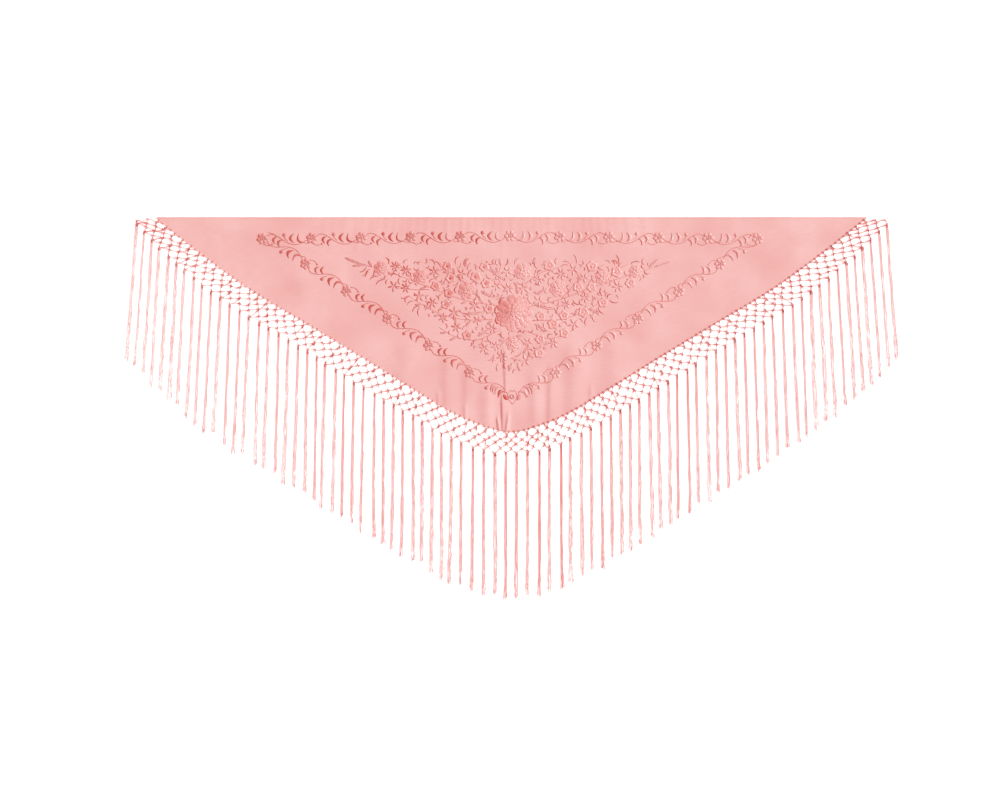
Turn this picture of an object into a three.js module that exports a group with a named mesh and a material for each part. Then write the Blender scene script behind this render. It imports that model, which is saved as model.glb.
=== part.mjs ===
// A flamenco shawl laid flat on a surface: one wide crepe triangle with a straight top edge, a knotted net
// along its two curved lower sides, and long silky strands that hang from the net.
// Millimetres, +Z up. The top edge faces +Y, and the underside rests on Z = 0.
// "Across" is measured out from the middle of the back, and "down" from the top edge.
import * as THREE from "three";

// Driving sizes
const CLOTH_THICK = 1.5;
const SEAM_GAP = 0.4; // between the cloth and the net, and between the net and the strands' row
const COLUMNS = 40; // strands on each side, and columns of the net
const CLOTH_ROWS = 8;
const FINE_COLUMNS = 3; // columns each side of the middle that the pleats at the tip need in quarters
const FINE_STEP = 0.25;
const CURVE_STEPS = 1200; // for even spacing along the curved edges

// Half of the cloth's curved lower edge
const CLOTH_EDGE = [
  { across: 0, down: 445 },
  { across: 62, down: 430 },
  { across: 124, down: 403 },
  { across: 186, down: 366 },
  { across: 310, down: 289 },
  { across: 434, down: 214 },
  { across: 537, down: 152 },
  { across: 641, down: 77 },
  { across: 733, down: 4 },
];

// Half of the line where the net ends and the strands begin
const STRAND_LINE = [
  { across: 0, down: 488 },
  { across: 62, down: 483 },
  { across: 124, down: 458 },
  { across: 227, down: 400 },
  { across: 331, down: 337 },
  { across: 434, down: 271 },
  { across: 537, down: 208 },
  { across: 641, down: 139 },
  { across: 713, down: 76 },
  { across: 783, down: 6 },
];

// Rows of knots, as shares of the way from the cloth's edge to the strands
const NET_ROWS = { heading: 0.13, upper: 0.34, middle: 0.55, lower: 0.79, strand: 1 };

const KNOT = { along: 5.2, deep: 5.6, high: 3.4, crown: 0.62 }; // crown: how much of it the top face keeps
const CORD = { wide: 2.2, low: 0.4, high: 2.3, crown: 0.6 };
const HEADING_THICK = 2.2;
const MIDDLE_CLEARANCE = 2.85; // from the middle line to the nearest knots of a side

// A strand is a flat lock of threads: narrow under its knot, and loose and wider at its tip
const STRAND = {
  length: 306,
  uneven: 14,
  outerShorter: 18,
  lowest: 0.4,
  thick: 2.8,
  crown: 0.62,
  lean: THREE.MathUtils.degToRad(4.7),
  leanPower: 1.5,
  looseness: 0.3,
  sway: 1.6,
};
const STRAND_RINGS = [
  { share: 0.035, width: 3.2, sway: 0 },
  { share: 0.35, width: 4.8, sway: 1 },
  { share: 0.72, width: 6.2, sway: -0.7 },
  { share: 1, width: 7.6, sway: 0.2 },
];
const STRAND_ROOT = { width: 3.4, below: 3.4 }; // where the strand leaves its knot

// The largest folds: each is a soft ridge from one point to another, that fades out at both ends
const FOLDS = [
  { fromAcross: -38, fromDown: 255, toAcross: -40, toDown: 500, width: 17, height: 4.2 },
  { fromAcross: 4, fromDown: 235, toAcross: 6, toDown: 500, width: 17, height: 5.4 },
  { fromAcross: -19, fromDown: 405, toAcross: -17, toDown: 470, width: 4.5, height: 2.6 },
  { fromAcross: 50, fromDown: 275, toAcross: 50, toDown: 455, width: 19, height: 3.0 },
  { fromAcross: 118, fromDown: 235, toAcross: 126, toDown: 455, width: 27, height: 3.8 },
  { fromAcross: 205, fromDown: 225, toAcross: 228, toDown: 390, width: 30, height: 2.2 },
  { fromAcross: -82, fromDown: 300, toAcross: -86, toDown: 450, width: 17, height: 2.4 },
  { fromAcross: -124, fromDown: 265, toAcross: -132, toDown: 440, width: 20, height: 3.2 },
  { fromAcross: -205, fromDown: 250, toAcross: -232, toDown: 380, width: 34, height: 3.0 },
  { fromAcross: -330, fromDown: 120, toAcross: -470, toDown: 150, width: 30, height: 1.8 },
  { fromAcross: -380, fromDown: 60, toAcross: -690, toDown: 8, width: 22, height: 2.0 },
  { fromAcross: 390, fromDown: 75, toAcross: 700, toDown: 6, width: 22, height: 2.4 },
  { fromAcross: 420, fromDown: 150, toAcross: 640, toDown: 52, width: 20, height: 1.8 },
];
const FOLD_FADE = 0.3; // share of a fold's length over which it rises and falls
const FOLD_REACH = 2.4; // widths past which a fold has no lift, so that the cloth lies flat there

// Curves
function bothSides(rows) {
  const right = rows.map((row) => new THREE.Vector3(row.across, -row.down, 0));
  const left = right.slice(1).reverse().map((p) => new THREE.Vector3(-p.x, p.y, 0));
  const curve = new THREE.CatmullRomCurve3([...left, ...right], false, "centripetal");
  curve.arcLengthDivisions = CURVE_STEPS;
  return curve;
}
const clothEdge = bothSides(CLOTH_EDGE);
const strandLine = bothSides(STRAND_LINE);

// A point of the net. Its reach runs from 0 at the middle to 1 at the corner, and its row from 0 at the cloth
// to 1 at the strands.
function netPoint(reach, row) {
  const share = (1 + reach) / 2;
  return clothEdge.getPointAt(share).lerp(strandLine.getPointAt(share), row);
}

function liftAt(across, down) {
  let lift = 0;
  for (const fold of FOLDS) {
    const runAcross = fold.toAcross - fold.fromAcross;
    const runDown = fold.toDown - fold.fromDown;
    const length = Math.hypot(runAcross, runDown);
    const fromX = across - fold.fromAcross;
    const fromY = down - fold.fromDown;
    const along = (fromX * runAcross + fromY * runDown) / (length * length);
    const aside = Math.abs(fromX * runDown - fromY * runAcross) / length / fold.width;
    if (along <= 0 || along >= 1 || aside >= FOLD_REACH) continue;
    const rise = THREE.MathUtils.smoothstep(Math.min(along, 1 - along), 0, FOLD_FADE);
    const edge = Math.exp(-FOLD_REACH * FOLD_REACH);
    lift += fold.height * rise * (Math.exp(-aside * aside) - edge);
  }
  return lift;
}

// A closed skin of flat faces. A post is a bottom point and the top point above it.
class Skin {
  corners = [];

  face(...points) {
    for (let i = 1; i + 1 < points.length; i++) {
      this.corners.push(points[0], points[i], points[i + 1]);
    }
  }

  // The top and bottom faces over posts given anticlockwise, as seen from above
  slab(...posts) {
    this.face(...posts.map((post) => post.top));
    this.face(...posts.map((post) => post.bottom).reverse());
  }

  // The side face between two posts, with the solid on the left of the way from one to the other
  wall(from, to) {
    this.face(from.bottom, to.bottom, to.top, from.top);
  }

  // A length of cord between two gates, each the two posts on the right and left of its way
  link(start, end) {
    this.wall(start.right, end.right);
    this.wall(end.left, start.left);
    this.slab(start.right, end.right, end.left, start.left);
  }

  geometry() {
    const made = new THREE.BufferGeometry().setFromPoints(this.corners);
    made.computeVertexNormals();
    return made;
  }
}

function post(x, y, low, high, topX = x, topY = y) {
  return { bottom: new THREE.Vector3(x, y, low), top: new THREE.Vector3(topX, topY, high) };
}

// Cloth
function clothColumns() {
  const columns = [];
  for (let i = -COLUMNS; i < COLUMNS; i++) {
    const step = i >= -FINE_COLUMNS && i < FINE_COLUMNS ? FINE_STEP : 1;
    for (let part = 0; part < 1; part += step) columns.push((i + part) / COLUMNS);
  }
  columns.push(1);
  return columns;
}

function clothGeometry() {
  const skin = new Skin();
  const grid = clothColumns().map((reach) => {
    const edge = clothEdge.getPointAt((1 + reach) / 2);
    const column = [];
    for (let row = 0; row <= CLOTH_ROWS; row++) {
      const down = (-edge.y * row) / CLOTH_ROWS;
      const lift = liftAt(edge.x, down);
      column.push(post(edge.x, -down, lift, lift + CLOTH_THICK));
    }
    return column;
  });
  for (let i = 0; i + 1 < grid.length; i++) {
    const [here, next] = [grid[i], grid[i + 1]];
    for (let row = 0; row < CLOTH_ROWS; row++) {
      skin.slab(here[row], here[row + 1], next[row + 1], next[row]);
    }
    skin.wall(next[0], here[0]);
    skin.wall(here[CLOTH_ROWS], next[CLOTH_ROWS]);
  }
  const [first, last] = [grid[0], grid[grid.length - 1]];
  for (let row = 0; row < CLOTH_ROWS; row++) {
    skin.wall(first[row], first[row + 1]);
    skin.wall(last[row + 1], last[row]);
  }
  return skin.geometry();
}

// Knots and cords of the net, built for the right side
const HALF = 0.5;
const NEAR = 1e-3;

function reachOf(column) {
  const arc = clothEdge.getLength() / 2;
  return Math.max(column / COLUMNS, MIDDLE_CLEARANCE / arc);
}

function directions(reach, row) {
  const [before, after] = [Math.max(reach - NEAR, 0), Math.min(reach + NEAR, 1)];
  const out = netPoint(after, row).sub(netPoint(before, row)).normalize();
  const down = netPoint(reach, 1).sub(netPoint(reach, 0)).normalize();
  return { out, down };
}

// The four corners of a knot; shift moves the two that lie along the row down the net
function knotAt(column, row, shift = 0) {
  const reach = reachOf(column);
  const centre = netPoint(reach, row);
  const { out, down } = directions(reach, row);
  const corner = (along, deep) => {
    const way = out.clone().multiplyScalar(along).addScaledVector(down, deep);
    const crown = way.clone().multiplyScalar(KNOT.crown);
    return post(
      centre.x + way.x, centre.y + way.y, 0, KNOT.high, centre.x + crown.x, centre.y + crown.y,
    );
  };
  return {
    centre,
    out: corner(KNOT.along / 2, shift),
    up: corner(0, -KNOT.deep / 2),
    back: corner(-KNOT.along / 2, shift),
    down: corner(0, KNOT.deep / 2),
  };
}

function gateAt(centre, way, width, low, high, crown) {
  const [x, y] = [(way.y * width) / 2, (-way.x * width) / 2];
  const side = (sign) =>
    post(
      centre.x + sign * x, centre.y + sign * y, low, high,
      centre.x + sign * x * crown, centre.y + sign * y * crown,
    );
  return { right: side(1), left: side(-1) };
}

// A cord from an upper knot to a lower one, drawn in at its middle
function cord(skin, upper, lower, outwards) {
  const way = lower.centre.clone().sub(upper.centre).normalize();
  const middle = upper.centre.clone().lerp(lower.centre, HALF);
  const waist = gateAt(middle, way, CORD.wide, CORD.low, CORD.high, CORD.crown);
  const start = outwards
    ? { right: upper.down, left: upper.out }
    : { right: upper.back, left: upper.down };
  const end = outwards
    ? { right: lower.back, left: lower.up }
    : { right: lower.up, left: lower.out };
  skin.link(start, waist);
  skin.link(waist, end);
}

// The plain heading under the cloth's edge, with the upper row's knots as its teeth
function heading(skin, upperKnots) {
  const edgePost = (column) => {
    const reach = Math.min(column / COLUMNS, 1);
    const edge = netPoint(reach, 0);
    const { out, down } = directions(reach, 0);
    const clear = down.clone().addScaledVector(out, -down.dot(out)).normalize();
    const x = Math.max(edge.x + clear.x * SEAM_GAP, SEAM_GAP / 2);
    const lift = liftAt(edge.x, -edge.y);
    return post(x, edge.y + clear.y * SEAM_GAP, lift, lift + HEADING_THICK);
  };
  const notchPost = (column) => {
    const notch = netPoint(reachOf(column), NET_ROWS.heading);
    return post(notch.x, notch.y, 0, KNOT.high);
  };
  for (let i = 0; i <= COLUMNS; i++) {
    const knot = upperKnots[i];
    const above = edgePost(i);
    skin.slab(knot.back, knot.out, above);
    skin.slab(knot.back, knot.down, knot.out);
    if (i === COLUMNS) continue;
    const next = upperKnots[i + 1];
    const [between, nextAbove] = [edgePost(i + HALF), edgePost(i + 1)];
    const notch = notchPost(i + HALF);
    skin.slab(knot.out, notch, between, above);
    skin.slab(notch, next.back, nextAbove, between);
    skin.wall(nextAbove, between);
    skin.wall(between, above);
    skin.wall(knot.out, notch);
    skin.wall(notch, next.back);
  }
  skin.wall(edgePost(0), upperKnots[0].back);
  skin.wall(upperKnots[COLUMNS].out, edgePost(COLUMNS));
  skin.wall(upperKnots[0].back, upperKnots[0].down);
  skin.wall(upperKnots[COLUMNS].down, upperKnots[COLUMNS].out);
}

function knotRow(count, offset, row, shift) {
  return Array.from({ length: count }, (_, i) => knotAt(i + offset, row, shift));
}

function netGeometry() {
  const skin = new Skin();
  const upper = knotRow(COLUMNS + 1, 0, NET_ROWS.upper);
  const middle = knotRow(COLUMNS, HALF, NET_ROWS.middle);
  const lower = knotRow(COLUMNS + 1, 0, NET_ROWS.lower, -SEAM_GAP / 2);
  heading(skin, upper);
  middle.forEach((knot, i) => {
    skin.slab(knot.out, knot.up, knot.back, knot.down);
    cord(skin, upper[i], knot, true);
    cord(skin, upper[i + 1], knot, false);
    cord(skin, knot, lower[i + 1], true);
    cord(skin, knot, lower[i], false);
  });
  // The lower knots are cut across: their lower halves belong to the strands' row
  lower.forEach((knot) => {
    skin.slab(knot.out, knot.up, knot.back);
    skin.wall(knot.back, knot.out);
  });
  skin.wall(lower[0].up, lower[0].back);
  skin.wall(lower[COLUMNS].out, lower[COLUMNS].up);
  return skin.geometry();
}

// Strands
// A scatter from 0 to 1 for the i-th strand, the same at each build
const SCATTER = { length: 1, looseness: 2, sway: 3, kinds: 4 };

function scatter(i, kind) {
  return THREE.MathUtils.seededRandom(i * SCATTER.kinds + kind);
}

function strand(skin, knot, i) {
  const reach = (i + HALF) / COLUMNS;
  const lean = STRAND.lean * reach ** STRAND.leanPower;
  const way = new THREE.Vector3(Math.sin(lean), -Math.cos(lean), 0);
  const aside = new THREE.Vector3(-way.y, way.x, 0);
  const length =
    STRAND.length -
    STRAND.outerShorter * reach ** 2 -
    STRAND.uneven * scatter(i, SCATTER.length);
  const loose = 1 + STRAND.looseness * (scatter(i, SCATTER.looseness) - HALF);
  const sway = 2 * STRAND.sway * (scatter(i, SCATTER.sway) - HALF);
  const rootAt = knot.centre.clone().addScaledVector(way, STRAND_ROOT.below);
  let gate = gateAt(rootAt, way, STRAND_ROOT.width, 0, KNOT.high, KNOT.crown);
  skin.slab(knot.out, knot.up, knot.back, gate.right, gate.left);
  skin.wall(knot.back, gate.right);
  skin.wall(gate.left, knot.out);
  for (const ring of STRAND_RINGS) {
    const centre = knot.centre
      .clone()
      .addScaledVector(way, STRAND_ROOT.below + (length - STRAND_ROOT.below) * ring.share)
      .addScaledVector(aside, sway * ring.sway);
    const top = STRAND.lowest + STRAND.thick;
    const next = gateAt(centre, way, ring.width * loose, STRAND.lowest, top, STRAND.crown);
    skin.link(gate, next);
    gate = next;
  }
  skin.wall(gate.right, gate.left);
}

// One side's strands, hung from the net's lowest zigzag of cords
function fringeGeometry() {
  const skin = new Skin();
  const lower = knotRow(COLUMNS + 1, 0, NET_ROWS.lower, SEAM_GAP / 2);
  const last = knotRow(COLUMNS, HALF, NET_ROWS.strand);
  last.forEach((knot, i) => {
    cord(skin, lower[i], knot, true);
    cord(skin, lower[i + 1], knot, false);
    strand(skin, knot, i);
  });
  lower.forEach((knot) => {
    skin.slab(knot.back, knot.down, knot.out);
    skin.wall(knot.out, knot.back);
  });
  skin.wall(lower[0].back, lower[0].down);
  skin.wall(lower[COLUMNS].down, lower[COLUMNS].out);
  return skin.geometry();
}

// The shawl
const CREPE = { color: 0xf6bdb9, roughness: 0.72, metalness: 0 };
const YARN = { color: 0xf3aaa6, roughness: 0.5, metalness: 0 };

function piece(name, geometry, finish, side = 1) {
  const mesh = new THREE.Mesh(geometry, new THREE.MeshStandardMaterial(finish));
  mesh.name = name;
  mesh.scale.x = side;
  return mesh;
}

const shawl = new THREE.Group();
const netSide = netGeometry();
const fringeSide = fringeGeometry();
shawl.add(
  piece("cloth", clothGeometry(), CREPE),
  piece("net_right", netSide, YARN),
  piece("net_left", netSide, YARN, -1),
  piece("fringe_right", fringeSide, YARN),
  piece("fringe_left", fringeSide, YARN, -1),
);

// The origin is under the middle of the whole shawl
const reachOfShawl = new THREE.Box3().setFromObject(shawl);
shawl.position.y = -(reachOfShawl.min.y + reachOfShawl.max.y) / 2;

export default shawl;
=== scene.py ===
# %% [markdown]
# # A flamenco shawl, laid flat
#
# The shawl is a wide triangle of salmon-pink crepe. Its two lower sides carry a net of knotted cord, and
# a long fringe hangs from the net. Flowers and scrolls are sewn on it in satin stitch, in the same pink
# as the cloth, so they show by their relief and their gloss alone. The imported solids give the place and
# the size of everything, and this lesson makes the cloth, the thread and the yarn at those places.

# %% Load the frame
import math
import random

import bpy
import numpy as np
from mathutils import Matrix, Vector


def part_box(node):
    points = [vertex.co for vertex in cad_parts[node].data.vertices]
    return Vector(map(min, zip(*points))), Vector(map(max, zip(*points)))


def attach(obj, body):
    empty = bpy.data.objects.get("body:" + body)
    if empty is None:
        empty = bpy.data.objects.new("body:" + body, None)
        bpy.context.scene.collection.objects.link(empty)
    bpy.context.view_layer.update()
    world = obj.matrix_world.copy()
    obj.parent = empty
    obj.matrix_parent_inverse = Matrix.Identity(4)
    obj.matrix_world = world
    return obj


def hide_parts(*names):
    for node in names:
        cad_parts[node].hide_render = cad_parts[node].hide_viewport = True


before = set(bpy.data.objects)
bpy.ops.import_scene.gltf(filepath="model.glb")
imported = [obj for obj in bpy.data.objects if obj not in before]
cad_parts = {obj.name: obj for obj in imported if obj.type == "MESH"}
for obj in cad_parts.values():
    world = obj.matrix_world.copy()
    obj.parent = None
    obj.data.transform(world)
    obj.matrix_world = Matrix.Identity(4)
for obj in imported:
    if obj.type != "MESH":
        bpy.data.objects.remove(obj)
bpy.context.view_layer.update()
MM = 0.001
cloth_low, cloth_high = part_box("cloth")
TOP_EDGE = cloth_high[1]

# %% [markdown]
# ## The camera
#
# The shawl was photographed from straight above, so the camera looks down with the top edge up. A long
# lens keeps the corners as undistorted as they are in a picture of something flat.

# %% Camera
FRAME_WIDTH = 2067 * MM
LENS = 100.0
SENSOR = 36.0
VIEW_CENTRE = {"across": -23.8, "down": 362.8}


def add_object(name, data):
    """A new object in the scene."""
    thing = bpy.data.objects.new(name, data)
    bpy.context.scene.collection.objects.link(thing)
    return thing


camera = add_object("camera", bpy.data.cameras.new("camera"))
camera.data.lens = LENS
camera.data.sensor_width = SENSOR
camera_height = FRAME_WIDTH * LENS / SENSOR
camera.location = (VIEW_CENTRE["across"] * MM, TOP_EDGE - VIEW_CENTRE["down"] * MM, camera_height)
bpy.context.scene.camera = camera
print("camera height", round(camera_height, 2), "m")

# %% [markdown]
# ## The curved edges
#
# The lower edge of the cloth and the line where the fringe begins are two smooth curves, the same on both
# sides. Each is drawn through a few points measured across from the middle and down from the top edge.
# Everything on them is spaced by length along the curve, as a maker spaces the knots.

# %% Edge curves
HEM_POINTS = (  # across, down
    (0, 445), (62, 430), (124, 403), (186, 366), (310, 289), (434, 214), (537, 152), (641, 77), (733, 4)
)
STRAND_POINTS = (  # across, down
    (0, 488), (62, 483), (124, 458), (227, 400), (331, 337),
    (434, 271), (537, 208), (641, 139), (713, 76), (783, 6),
)


def smooth_through(points, steps=40):
    """A smooth line through the points, as rows of coordinates."""
    points = np.asarray(points, float)
    ends = np.vstack([2 * points[0] - points[1], points, 2 * points[-1] - points[-2]])
    t = np.linspace(0, 1, steps, endpoint=False)[:, None]
    line = []
    for a, b, c, d in zip(ends, ends[1:], ends[2:], ends[3:]):
        ab, bc, cd = (np.linalg.norm(q - p) ** 0.5 for p, q in ((a, b), (b, c), (c, d)))
        leave = bc * ((b - a) / ab - (c - a) / (ab + bc) + (c - b) / bc)
        arrive = bc * ((c - b) / bc - (d - b) / (bc + cd) + (d - c) / cd)
        bend = 3 * (c - b) - 2 * leave - arrive
        line.append(b + leave * t + bend * t**2 + (2 * (b - c) + leave + arrive) * t**3)
    return np.vstack([*line, points[-1:]])


def even_line(line):
    """A function from a share of the line's length to the point there."""
    arc = np.concatenate([[0], np.cumsum(np.linalg.norm(np.diff(line, axis=0), axis=1))])

    def at(share):
        return np.stack([np.interp(np.asarray(share) * arc[-1], arc, axis) for axis in line.T], axis=-1)

    at.length = arc[-1]
    return at


def both_sides(points):
    right = np.array(points, float)
    left = right[:0:-1] * (-1, 1)
    return even_line(smooth_through(np.vstack([left, right])))


hem_line = both_sides(HEM_POINTS)
strand_line = both_sides(STRAND_POINTS)


def net_point(reach, row):
    """A point of the net: reach runs from -1 to 1, corner to corner, and row from 0 at the hem to 1."""
    share = (1 + np.asarray(reach)) / 2
    return hem_line(share) * (1 - row) + strand_line(share) * row


print("hem", round(hem_line.length), "mm, fringe line", round(strand_line.length), "mm")

# %% [markdown]
# ## How the cloth lies
#
# Crepe that is spread by hand keeps a few soft folds where it was folded away, and puckers where the
# net pulls on the hem. Each fold is a ridge from one point to another, often steeper on its left side,
# with its widths and its height in millimetres. A cloth simulation would give other folds than these, so
# they are listed one by one. One function gives the height of the cloth anywhere, and the stitching uses it
# too, to lie on the folds.

# %% Folds
FOLDS = (  # from across, down, to across, down, width to its left, to its right, height
    (-24, 215, -16, 300, 3.0, 16, 0.5),
    (-16, 255, -11, 385, 2.4, 22, 1.5),
    (-20, 350, -17, 475, 2.3, 18, 2.2),
    (-31, 405, -23, 466, 1.8, 5, 2.2),
    (-6, 400, -14, 466, 1.8, 5, 1.9),
    (-52, 330, -48, 480, 16, 14, 2.2),
    (84, 290, 80, 450, 8, 20, 1.9),
    (48, 300, 50, 455, 12, 16, 1.6),
    (126, 235, 132, 445, 20, 26, 2.5),
    (205, 225, 228, 390, 24, 30, 2.1),
    (-88, 290, -94, 440, 10, 22, 1.5),
    (-130, 265, -134, 440, 13, 26, 1.8),
    (-205, 250, -232, 380, 24, 34, 2.1),
    (-330, 120, -470, 150, 30, 30, 1.6),
    (-380, 60, -690, 8, 22, 22, 1.8),
    (390, 75, 700, 6, 22, 22, 2.0),
    (420, 150, 640, 52, 20, 20, 1.6),
    (-97, 384, -95, 430, 2.6, 5, 0.7),
    (-153, 352, -150, 405, 3.0, 6, 0.8),
    (163, 340, 165, 400, 3.0, 6, 0.8),
)
FOLD_FADE = 0.3  # share of a fold's length over which it rises, and dies away again
RIPPLE = {"from": -380, "to": 280, "start": -25, "pitch": 17, "width": 4.6, "height": 0.42, "longest": 95}
CLOTH_THICK = 0.9
WAVES = {"across": 47, "down": 39, "slant": 130, "bend": 1.3, "bend_down": 61, "height": 0.5}

rng = random.Random(7)


def top_ripples():
    """Short gathers that hang from the top edge and lean away from the middle."""
    rows = []
    across = RIPPLE["from"]
    while across < RIPPLE["to"]:
        length = RIPPLE["longest"] * rng.uniform(0.45, 1)
        lean = across * rng.uniform(0.02, 0.07)
        height = RIPPLE["height"] * rng.uniform(0.35, 1)
        width = RIPPLE["width"] * rng.uniform(0.8, 1.4)
        rows.append((across, RIPPLE["start"], across + lean, length, width, 1.5 * width, height))
        across += RIPPLE["pitch"] * rng.uniform(0.75, 1.3)
    return rows


ALL_FOLDS = [*FOLDS, *top_ripples()]


def smooth_step(x):
    x = np.clip(x, 0, 1)
    return x * x * (3 - 2 * x)


def cloth_height(across, down):
    """Height of the cloth's face over the floor, in millimetres, for arrays of places."""
    across, down = np.asarray(across, float), np.asarray(down, float)
    lift = np.zeros(np.broadcast(across, down).shape)
    for x0, y0, x1, y1, left, right, height in ALL_FOLDS:
        run = math.hypot(x1 - x0, y1 - y0)
        along = ((across - x0) * (x1 - x0) + (down - y0) * (y1 - y0)) / run**2
        aside = ((across - x0) * (y1 - y0) - (down - y0) * (x1 - x0)) / run
        aside = aside / np.where(aside < 0, left, right)
        rise = smooth_step(np.minimum(along, 1 - along) / FOLD_FADE)
        lift += height * rise * np.exp(-aside * aside)
    waves = np.sin(across / WAVES["across"] + WAVES["bend"] * np.sin(down / WAVES["bend_down"]))
    waves = waves * np.sin(down / WAVES["down"] + across / WAVES["slant"])
    return CLOTH_THICK + lift + WAVES["height"] * (1 + waves) / 2


print(len(ALL_FOLDS), "folds and gathers")

# %% [markdown]
# ## Small helpers
#
# Operators work on whatever is selected, and the loaded solids still are, so every step starts by
# letting go of everything. Places are kept as a maker measures them, in millimetres across from the
# middle and down from the top edge, and become points of the frame only when a mesh is made.


# %% Helpers
def deselect():
    for thing in bpy.context.selected_objects:
        thing.select_set(False)


def select_only(*things):
    deselect()
    for thing in things:
        thing.select_set(True)
    bpy.context.view_layer.objects.active = things[0]


def edit_all(thing, operator, **settings):
    """Run an operator on the whole of a mesh, in edit mode."""
    select_only(thing)
    bpy.ops.object.mode_set(mode="EDIT")
    bpy.ops.mesh.select_all(action="SELECT")
    operator(**settings)
    bpy.ops.object.mode_set(mode="OBJECT")


def copy_of(model):
    """A copy with a mesh of its own."""
    copy = model.copy()
    copy.data = model.data.copy()
    bpy.context.scene.collection.objects.link(copy)
    return copy


def join(things, name):
    """One object of all these, named and with its place in its mesh."""
    select_only(*things)
    bpy.ops.object.join()
    made = bpy.context.view_layer.objects.active
    bpy.ops.object.transform_apply(location=True, rotation=True, scale=True)
    made.name = made.data.name = name
    return made


def read_points(mesh):
    flat = np.empty(len(mesh.vertices) * 3)
    mesh.vertices.foreach_get("co", flat)
    return flat.reshape(-1, 3)


def write_points(mesh, points):
    mesh.vertices.foreach_set("co", points.ravel())
    mesh.update()


def corner_points(mesh):
    """Which point each corner of each face stands on."""
    corners = np.empty(len(mesh.loops), int)
    mesh.loops.foreach_get("vertex_index", corners)
    return corners


def new_map(mesh):
    """An empty UV map for the floss, in place of any other."""
    while mesh.uv_layers:
        mesh.uv_layers.remove(mesh.uv_layers[0])
    return mesh.uv_layers.new(name="floss")


def triangles(thing):
    thing.data.calc_loop_triangles()
    return len(thing.data.loop_triangles)


def in_frame(places, heights):
    """Points of the frame from rows of across and down and their heights, in millimetres."""
    return np.column_stack([places[:, 0] * MM, TOP_EDGE - places[:, 1] * MM, heights * MM])


print(len(bpy.context.selected_objects), "solids are still selected")

# %% [markdown]
# ## The crepe
#
# The cloth is one layer with no lining. It could be a flat triangle with a bumpy finish, but its folds
# would then catch no light from the side. So a grid is added and drawn to the cut's outline, finer near
# the middle, where the pleats are narrow. Its points are lifted on to the folds, and a Solidify modifier
# then gives the thickness, so both faces and the cut edge are real.

# %% Cloth
CLOTH_COLUMNS = 420
CLOTH_ROWS = 92
MIDDLE_CROWD = 0.6  # share of the columns' spacing that is drawn towards the middle
UNDER_CLOTH = 0.1  # room between the cloth and what it lies on
SHARPEST_FOLD = 50  # degrees, so that only the cut edge is shaded sharp

deselect()
bpy.ops.mesh.primitive_grid_add(x_subdivisions=CLOTH_COLUMNS, y_subdivisions=CLOTH_ROWS, size=2)
cloth = bpy.context.object
cloth.name = cloth.data.name = "crepe_cloth"
grid = read_points(cloth.data)
reach = grid[:, 0] * (1 - MIDDLE_CROWD * (1 - grid[:, 0] ** 2))
places = net_point(reach, 0)
places[:, 1] *= (1 - grid[:, 1]) / 2
write_points(cloth.data, in_frame(places, cloth_height(*places.T)))

thicken = cloth.modifiers.new("thickness", "SOLIDIFY")
thicken.thickness = (CLOTH_THICK - UNDER_CLOTH) * MM
thicken.offset = -1
select_only(cloth)
bpy.ops.object.modifier_apply(modifier=thicken.name)
bpy.ops.object.shade_smooth_by_angle(angle=math.radians(SHARPEST_FOLD))
print("cloth", triangles(cloth), "triangles")

# %% [markdown]
# ## The rolled hem
#
# The edge of the crepe is rolled and sewn, so a thin cord of cloth runs all round it. A bevel would only
# round the sheet's own edge, so the roll is a curve with a round section, made a mesh once its route is
# set. The helper that makes it also lays every other thread of the shawl.

# %% Hem
HEM_RADIUS = 1.0
HEM_STEPS = {"lower": 500, "upper": 380}
WELD = 0.001  # points nearer than this become one
THREAD_GAP = 777.0  # set between one thread and the next on the map, so that no two are shaded alike


def tube(name, routes, radius, sides=0):
    """One mesh of round threads, one along each route of points in the frame."""
    curve = bpy.data.curves.new(name, "CURVE")
    curve.dimensions = "3D"
    curve.bevel_depth = radius * MM
    curve.bevel_resolution = sides
    curve.use_fill_caps = True
    for route, widths, _ in routes:
        spline = curve.splines.new("POLY")
        spline.points.add(len(route) - 1)
        spline.points.foreach_set("co", np.column_stack([route, np.ones(len(route))]).ravel())
        spline.points.foreach_set("radius", widths)
    thing = add_object(name, curve)
    select_only(thing)
    bpy.ops.object.convert(target="MESH")
    bpy.ops.object.shade_smooth()
    lay_thread(thing.data, routes, 4 + 2 * sides)
    edit_all(thing, bpy.ops.mesh.remove_doubles, threshold=WELD * MM)
    return thing


def lay_thread(mesh, routes, ring):
    """A UV map of millimetres along each thread and turns round it, and each thread's tone.

    The tone is the thread's dye, with painted shade on the stems of the left half and below the fringe
    knots.
    """
    along = []
    tones = []
    for k, (route, _, tone) in enumerate(routes):
        steps = np.linalg.norm(np.diff(route, axis=0), axis=1) / MM
        along.append(np.concatenate([[0], np.cumsum(steps)]) + THREAD_GAP * k)
        tones.append(np.broadcast_to(tone, len(route)))
    along, tones = (np.repeat(np.concatenate(rows), ring) for rows in (along, tones))
    caps = len(mesh.vertices) - len(along)  # the end caps come first, with points of their own
    along = np.concatenate([np.zeros(caps), along])
    tones = np.concatenate([np.full(caps, tones[0]), tones])
    mesh.attributes.new("tone", "FLOAT", "POINT").data.foreach_set("value", tones)
    around = np.tile(np.arange(ring) / ring, len(along) // ring)
    corners = corner_points(mesh)
    starts = np.empty(len(mesh.polygons), int)
    mesh.polygons.foreach_get("loop_start", starts)
    sizes = np.diff(np.append(starts, len(corners)))
    turn = around[corners]
    widest = np.repeat(np.maximum.reduceat(turn, starts), sizes)
    turn = np.where(widest - turn > 0.5, turn + 1, turn)  # where a face closes the round
    new_map(mesh).data.foreach_set("uv", np.column_stack([along[corners], turn]).ravel())


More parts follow.
